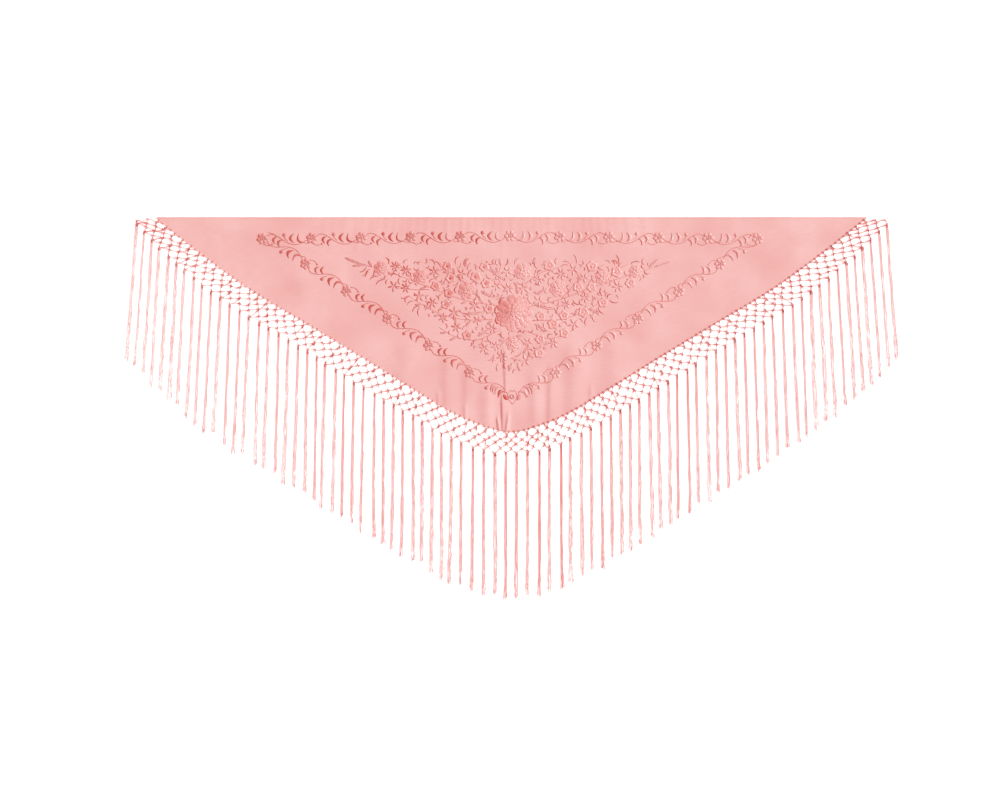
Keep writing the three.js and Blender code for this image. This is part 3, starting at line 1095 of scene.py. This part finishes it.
def grow_leaf(across, down, length, width, turn, room, reserve=2.2):
    """A leaf, or a single stitch where it would be narrow, if there is room for it."""
    spots = [along_turn(across, down, turn, length * share) for share in (0.3, 0.65, 1)]
    if not all(is_free(*spot, room) for spot in spots):
        return
    if width > LEAVES["narrowest"]:
        bouquet.leaf(across, down, length, width, turn)
    else:
        # painted shade on the left, or a random depth, whichever is darker
        dark = max(shade_and_dye_depth("slim_crescent", across), grow.uniform(0, 0.9))
        flip = grow.choice((-1, 1))
        bouquet.sew("slim_crescent", across, down, length, 1.7 * width, 1.3, turn, flip, dark)
    taken.extend((*spot, reserve) for spot in spots)


print(len(BRANCHES), "branches,", len(ROSES), "roses")

# %% [markdown]
# ### The flowers
#
# The peony and the roses are rings of petals, the outer ones flatter and sewn first, so that each ring
# stands over the last. A cup is one lobed round with a dot in it, and a star is a ring of seeds.

# %% Flowers
def sew_rose(across, down, size):
    start = grow.uniform(0, 60)
    for count, inner, length, width, height in ROSE_RINGS:
        bouquet.petals(across, down, (count, inner * size, length * size, width * size, height), start)
        start += 30


def sew_cup(across, down, size):
    bouquet.round("cup", across, down, size, 1.25)
    bouquet.round("dot", across, down, 0.28 * size, 1.3)


def sew_star(across, down, size):
    count = grow.choice((5, 6, 7))
    start = grow.uniform(0, 60)
    bouquet.petals(across, down, (count, 0.05 * size, 0.47 * size, 0.165 * size, 1.3), start, "seed")


for k, ring in enumerate(PEONY_RINGS):
    # the peony's left petals get more painted shade
    bouquet.petals(PEONY["across"], PEONY["down"], ring, 23 * k, deep=0.14 - 0.02 * k, loose=6, left=0.42)
# the crescents on the peony's left are painted dark as its shade
for start, end in PEONY_EDGE:
    bouquet.arc("slim_crescent", start, end, 7, 1.5, -1, deep=0.9)
for rose in ROSES:
    sew_rose(*rose)
for leaf in LONG_LEAVES:
    grow_leaf(*leaf, room=-9)
print(len(bouquet.copies), "mounds are sewn before the branches")

# %% [markdown]
# ### The branches and what grows between them
#
# Small flowers are tried at chance places and kept where they have room, each with a stem from the
# nearest branch. Leaves then grow along the branches, and single stitches fill what is still bare.

# %% Branches and what grows between them
branch_places = []
branch_leaves = []
for branch in BRANCHES:
    bouquet.stem(branch)
    line = even_line(smooth_through(branch, 12))
    places = line(np.arange(0, line.length, BRANCH_LEAF_STEP) / line.length)
    for k, (here, there) in enumerate(zip(places, places[1:])):
        branch_places.append(tuple(here))
        heading = math.degrees(math.atan2(there[1] - here[1], there[0] - here[0]))
        branch_leaves.append((*here, heading + (1 if k % 2 else -1) * grow.uniform(32, 50)))

small_flowers = 0
for _ in range(FLOWERS["tries"]):
    across, down = grow.uniform(*FLOWERS["across"]), grow.uniform(*FLOWERS["down"])
    size = grow.uniform(*FLOWER_SIZES)
    if not in_field(across, down) or not is_free(across, down, size / 2 + FLOWERS["room"]):
        continue
    near = min(branch_places, key=lambda p: math.hypot(p[0] - across, p[1] - down))
    middle = ((across + near[0]) / 2 + grow.uniform(-5, 5), (down + near[1]) / 2 + grow.uniform(-5, 5))
    if math.hypot(near[0] - across, near[1] - down) > SHORTEST_STEM:
        bouquet.stem([near, middle, (across, down)])
    if grow.random() < FLOWERS["cups"]:
        sew_cup(across, down, size)
    else:
        sew_star(across, down, size * STAR_SIZE)
    taken.append((across, down, size / 2))
    small_flowers += 1

for across, down, turn in branch_leaves:
    length = grow.uniform(11, 18)
    grow_leaf(across, down, length, 0.3 * length, turn, LEAVES["room"])
for _ in range(LEAVES["tries"]):
    across, down = grow.uniform(*LEAVES["across"]), grow.uniform(*LEAVES["down"])
    if in_field(across, down) and is_free(across, down, LEAVES["room"]):
        near = min(branch_places, key=lambda p: math.hypot(p[0] - across, p[1] - down))
        turn = math.degrees(math.atan2(down - near[1], across - near[0])) + grow.uniform(-50, 50)
        length = grow.choice((8, 12, 16, 20))
        grow_leaf(across, down, length, grow.uniform(2.8, 3.8), turn, LEAVES["room"], reserve=2.8)
bouquet_stitches, bouquet_stems = bouquet.finish()
for mound in mounds.values():
    bpy.data.objects.remove(mound)
print(small_flowers, "small flowers")

# %% [markdown]
# ## Colours
#
# The studio light is a little brighter than white on the floor, as in a catalogue picture, so each
# colour below is the one that the picture shows, brought down by that light.

# %% Colours
LIGHT_LEVEL = 1.47


def dye(red, green, blue):
    """A colour of the picture, 0 to 255, as the shader's own colour."""
    shades = [channel / 255 for channel in (red, green, blue)]
    linear = [c / 12.92 if c <= 0.04045 else ((c + 0.055) / 1.055) ** 2.4 for c in shades]
    return (*[c / LIGHT_LEVEL for c in linear], 1.0)


def add_node(tree, kind, inputs=None, **settings):
    """A node with its settings, its values and its links made in one go."""
    made = tree.nodes.new(kind)
    for name, value in settings.items():
        setattr(made, name, value)
    for name, value in (inputs or {}).items():
        socket = made.inputs[name]
        if isinstance(value, bpy.types.NodeSocket):
            tree.links.new(value, socket)
        else:
            socket.default_value = value
    return made


def mix_colors(tree, factor, a, b):
    """The colour that goes from a to b by the factor."""
    mixed = add_node(tree, "ShaderNodeMix", {"Factor": factor, "A": a, "B": b}, data_type="RGBA")
    return mixed.outputs["Result"]


def work_out(tree, operation, *values):
    """What a Math node makes of the values."""
    return add_node(tree, "ShaderNodeMath", dict(enumerate(values)), operation=operation).outputs[0]


def stretched(tree, places, scale):
    """The places of a pattern, scaled along each axis."""
    return add_node(tree, "ShaderNodeMapping", {"Vector": places, "Scale": scale}).outputs["Vector"]


print("salmon pink is", [round(channel, 2) for channel in dye(250, 203, 199)[:3]])

# %% [markdown]
# ## Effects that more than one material uses
#
# Dyed silk is never quite even, so one group shifts a colour gently from place to place. A second draws
# the fine slanted ridges that twisted or laid threads have, for the floss and for the cords alike.

# %% Shared effects
def new_group(name, ins, out):
    """A node group with named inputs and one output: its tree, its inputs and its output socket."""
    group = bpy.data.node_groups.new(name, "ShaderNodeTree")
    for label, kind, value in ins:
        socket = group.interface.new_socket(label, in_out="INPUT", socket_type=f"NodeSocket{kind}")
        if value is not None:
            socket.default_value = value
    label, kind = out
    group.interface.new_socket(label, in_out="OUTPUT", socket_type=f"NodeSocket{kind}")
    entry = group.nodes.new("NodeGroupInput")
    leave = group.nodes.new("NodeGroupOutput")
    return group, entry.outputs, leave.inputs[label]


DYE_SOCKETS = (
    ("Vector", "Vector", None),
    ("Color", "Color", (1, 1, 1, 1)),
    ("Deep", "Color", (0, 0, 0, 1)),
    ("Scale", "Float", 10.0),
    ("Amount", "Float", 0.3),
)
dyed, dyed_in, dyed_out = new_group("uneven_dye", DYE_SOCKETS, ("Color", "Color"))
cloud = add_node(dyed, "ShaderNodeTexNoise", {"Vector": dyed_in["Vector"], "Scale": dyed_in["Scale"]})
cloud_range = {"Value": cloud.outputs["Fac"], "From Min": 0.3, "From Max": 0.7}
share = add_node(dyed, "ShaderNodeMapRange", cloud_range)
amount = work_out(dyed, "MULTIPLY", share.outputs["Result"], dyed_in["Amount"])
dyed.links.new(mix_colors(dyed, amount, dyed_in["Color"], dyed_in["Deep"]), dyed_out)

THREAD_SOCKETS = (("UV", "Vector", None), ("Pitch", "Float", 0.8), ("Slant", "Float", 0.6))
laid, laid_in, laid_out = new_group("laid_threads", THREAD_SOCKETS, ("Height", "Float"))
parts = add_node(laid, "ShaderNodeSeparateXYZ", {"Vector": laid_in["UV"]})
slope = work_out(laid, "MULTIPLY", parts.outputs["Y"], laid_in["Slant"])
phase = work_out(laid, "ADD", parts.outputs["X"], slope)
turns = work_out(laid, "DIVIDE", phase, laid_in["Pitch"])
ridge = work_out(laid, "SINE", work_out(laid, "MULTIPLY", turns, 2 * math.pi))
level = add_node(laid, "ShaderNodeMapRange", {"Value": ridge, "From Min": -1.0})
laid.links.new(level.outputs["Result"], laid_out)
print([group.name for group in bpy.data.node_groups])

# %% [markdown]
# ## What every material needs
#
# A material is a Principled shader with its even values on its own sockets, a colour that varies over
# the surface and a fine relief. These few helpers make and join those, so that each finish below is
# only its own colours and sizes.


# %% Material helpers
def new_material(name, finish):
    """A material with its tree, its shader and the places on the object that patterns follow."""
    material = bpy.data.materials.new(name)
    material.use_nodes = True
    tree = material.node_tree
    shader = tree.nodes["Principled BSDF"]
    for socket, value in finish.items():
        shader.inputs[socket].default_value = value
    return material, tree, shader, add_node(tree, "ShaderNodeTexCoord").outputs["Object"]


def uneven(tree, places, color, deep, scale=1.0, amount=0.3):
    """The colour, with clouds of the deeper one."""
    sockets = {"Vector": places, "Color": color, "Deep": deep, "Scale": scale, "Amount": amount}
    return add_node(tree, "ShaderNodeGroup", sockets, node_tree=dyed).outputs["Color"]


def threads(tree, pitch, slant):
    """The ridges of threads that lie along the floss map."""
    uv = add_node(tree, "ShaderNodeUVMap", uv_map="floss").outputs["UV"]
    sockets = {"UV": uv, "Pitch": pitch, "Slant": slant}
    return add_node(tree, "ShaderNodeGroup", sockets, node_tree=laid).outputs["Height"]


def kept_value(tree, name):
    """A value that is kept on the points of the mesh."""
    return add_node(tree, "ShaderNodeAttribute", attribute_name=name).outputs["Fac"]


def finish_surface(tree, shader, color, height, depth, strength):
    """Lead the colour to the shader, and the height as a relief so many millimetres deep."""
    tree.links.new(color, shader.inputs["Base Color"])
    bump = {"Height": height, "Distance": depth * MM, "Strength": strength}
    tree.links.new(add_node(tree, "ShaderNodeBump", bump).outputs["Normal"], shader.inputs["Normal"])


def wear(material, *things):
    for thing in things:
        thing.data.materials.clear()
        thing.data.materials.append(material)


print(len(bpy.data.materials), "materials came with the solids")

# %% [markdown]
# ## Crepe
#
# Crepe has a fine pebbled grain, because its yarns are twisted so hard that they crinkle. A fine noise
# gives the pebbles, one stretched along the weft gives faint slubs, a broad one gives clouds of dye, and
# a little sheen gives the soft bloom of the cloth. A picture of real crepe would show its repeats.

# %% Crepe
CREPE = {"Roughness": 0.72, "Sheen Weight": 0.12, "Sheen Roughness": 0.45, "Specular IOR Level": 0.3}
GRAIN_SCALE = 950.0  # pebbles to the metre
GRAIN = {"depth": 0.12, "strength": 0.6}

crepe, tree, shader, place = new_material("salmon_crepe", CREPE)
clouds = uneven(tree, place, dye(250, 203, 199), dye(237, 169, 164), scale=9.0, amount=0.6)
slubs = stretched(tree, place, (60, 420, 60))
color = uneven(tree, slubs, clouds, dye(240, 176, 171), amount=0.35)
weft = stretched(tree, place, (1.0, 1.8, 1.0))
pebbles = add_node(tree, "ShaderNodeTexNoise", {"Vector": weft, "Scale": GRAIN_SCALE, "Detail": 1.0})
finish_surface(tree, shader, color, pebbles.outputs["Fac"], **GRAIN)
wear(crepe, cloth, hem)
print(crepe.name, len(tree.nodes), "nodes")

# %% [markdown]
# ## Floss
#
# Satin stitch shines where its threads turn to the light and is dark where they dive into the cloth. One
# even colour would look like wax. So the mound's own height, kept in the attribute rise, paints shade
# on the foot of each petal, where it meets the cloth, and the attribute deep paints the shade of the
# left half, with a random deep dye besides. The laid threads follow the UV map in real millimetres.

# %% Floss
FLOSS = {"Roughness": 0.4, "Sheen Weight": 0.1, "Sheen Roughness": 0.3, "Specular IOR Level": 0.5}
FLOSS_RELIEF = {"depth": 0.1, "strength": 0.7}
FLOSS_LIGHT = dye(252, 206, 202)
# painted shade at the foot of each mound, and the deeper colour of the random streaks
FLOSS_STREAKS_AND_FOOT_SHADE = dye(241, 142, 134)
# painted shade of the left half, and the random deep dye
FLOSS_SHADE_AND_DEEP_DYE = dye(206, 72, 62)
FOOT_HEIGHT = 0.5

satin, tree, shader, place = new_material("satin_floss", FLOSS)
shade = mix_colors(tree, kept_value(tree, "deep"), FLOSS_LIGHT, FLOSS_SHADE_AND_DEEP_DYE)
# painted shade: the colour darkens towards the foot of each mound
climb = add_node(tree, "ShaderNodeMapRange", {"Value": kept_value(tree, "rise"), "From Max": FOOT_HEIGHT})
color = mix_colors(tree, climb.outputs["Result"], FLOSS_STREAKS_AND_FOOT_SHADE, shade)
floss_map = add_node(tree, "ShaderNodeUVMap", uv_map="floss").outputs["UV"]
color = uneven(tree, stretched(tree, floss_map, (0.4, 0.06, 1)), color, FLOSS_STREAKS_AND_FOOT_SHADE, amount=0.45)
color = uneven(tree, place, color, FLOSS_STREAKS_AND_FOOT_SHADE, scale=75.0)
finish_surface(tree, shader, color, threads(tree, 0.8, 0.5), **FLOSS_RELIEF)
wear(satin, border_stitches, bouquet_stitches)
print(satin.name, len(tree.nodes), "nodes")

# %% [markdown]
# ## Cord and yarn
#
# The net is twisted cord, darker in the narrow corners, and its knots are painted darker than the cord
# as the shade between their packed turns. The fringe is loose rayon yarn, so its threads catch the light
# in turn, and each bundle looks mottled from a distance: long soft patches do this here, with a tone for
# each thread. Stem stitch is twisted in the same way, and its tone carries the painted shade of the
# left half.

# %% Cord and yarn
YARN = {"Roughness": 0.55, "Sheen Weight": 0.04, "Sheen Roughness": 0.4, "Specular IOR Level": 0.2}
YARN_RELIEF = {"depth": 0.12, "strength": 0.6}


def yarn_material(name, light, deep, dark, mottle, amount, pitch):
    """Yarn from light to deep in patches, or to dark where a thread's tone is high."""
    material, tree, shader, place = new_material(name, YARN)
    shade = mix_colors(tree, kept_value(tree, "tone"), dye(*light), dye(*dark))
    color = uneven(tree, stretched(tree, place, mottle), shade, dye(*deep), amount=amount)
    finish_surface(tree, shader, color, threads(tree, pitch, pitch), **YARN_RELIEF)
    return material


YARNS = {  # light, deep, dark, patches to the metre, how strong they are, pitch of the ply
    "net_cord_yarn": ((262, 240, 237), (250, 184, 178), (246, 120, 110), (90, 90, 90), 0.7, 1.6),
    # the knots are painted darker than the cord, as the shade between their packed turns
    "knot_yarn": ((266, 196, 188), (250, 118, 108), (250, 118, 108), (90, 90, 90), 1.0, 1.0),
    "fringe_yarn": ((278, 272, 270), (260, 200, 195), (252, 120, 110), (210, 32, 100), 0.8, 2.2),
    "stem_floss": ((256, 162, 154), (246, 140, 132), (218, 86, 76), (90, 90, 90), 0.6, 1.2),
}
yarns = {name: yarn_material(name, *look) for name, look in YARNS.items()}
wear(yarns["stem_floss"], border_stems, bouquet_stems)
wear(yarns["net_cord_yarn"], net_left, net_right)
wear(yarns["knot_yarn"], knots_left, knots_right)
wear(yarns["fringe_yarn"], strands_left, strands_right)
print(len(bpy.data.node_groups), "groups,", len(bpy.data.materials), "materials")

# %% [markdown]
# ## Floor and light
#
# The shawl lies on a plain white floor that is lit from below, as a light table is, so it casts no grey
# shadows there. One broad lamp stands low on the right, which is what gives the stitching its relief.
# Light that has passed through pink cloth keeps its shadows pink, so a rosy lamp straight above fills
# them. The low lamp has the opposite tint, so the two are white together, and the studio is bright.

# %% Floor and light
FLOOR_SIZE = 14.0
FLOOR_DEPTH = 0.6
LAMPS = {  # strength, colour, angle that the lamp fills, its height and the side it stands on, in degrees
    "key": (5.4, (0.5, 1.0, 1.0), 12, 30, 20),
    "fill": (1.68, (1.0, 0.0, 0.0), 80, 90, 0),
}
SKY = 0.5
WHITE = (1, 1, 1, 1)

deselect()
bpy.ops.mesh.primitive_plane_add(size=FLOOR_SIZE, location=(0, 0, -FLOOR_DEPTH * MM))
floor = bpy.context.object
bpy.ops.object.transform_apply(location=True)
floor.name = floor.data.name = "floor"
lit = {"Roughness": 0.9, "Specular IOR Level": 0.1, "Emission Color": WHITE, "Emission Strength": 0.6}
paper, tree, shader, place = new_material("lit_floor", lit)
tone = uneven(tree, place, (0.94, 0.94, 0.94, 1), (0.92, 0.92, 0.92, 1), scale=0.5)
tree.links.new(tone, shader.inputs["Base Color"])
wear(paper, floor)

for name, (strength, color, spread, elevation, side) in LAMPS.items():
    lamp = add_object(name, bpy.data.lights.new(name, "SUN"))
    lamp.data.energy = strength
    lamp.data.color = color
    lamp.data.angle = math.radians(spread)
    lamp.rotation_euler = (0, math.radians(90 - elevation), math.radians(side))

world = bpy.data.worlds.new("studio")
world.use_nodes = True
sky = world.node_tree.nodes["Background"].inputs
sky["Color"].default_value = WHITE
sky["Strength"].default_value = SKY
bpy.context.scene.world = world
bpy.context.scene.view_settings.view_transform = "Standard"
print(len(bpy.data.lights), "lamps over a floor of", FLOOR_SIZE, "m")

# %% [markdown]
# ## Joining the frame
#
# Every piece rides with the one body, and the new pieces take the place of the plain solids, which are
# hidden.

pieces = {
    "crepe": (cloth, hem, border_stitches, border_stems, bouquet_stitches, bouquet_stems),
    "net_cord": (net_left, net_right, knots_left, knots_right),
    "fringe_yarn": (strands_left, strands_right),
}
for slot, things in pieces.items():
    for thing in things:
        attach(thing, "root")
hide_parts("cloth")
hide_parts("net_left")
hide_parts("net_right")
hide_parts("fringe_left")
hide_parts("fringe_right")
print(sum(len(things) for things in pieces.values()), "pieces ride on the one body")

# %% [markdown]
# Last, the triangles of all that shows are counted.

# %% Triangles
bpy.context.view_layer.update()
print(sum(triangles(thing) for things in pieces.values() for thing in things), "triangles in all")
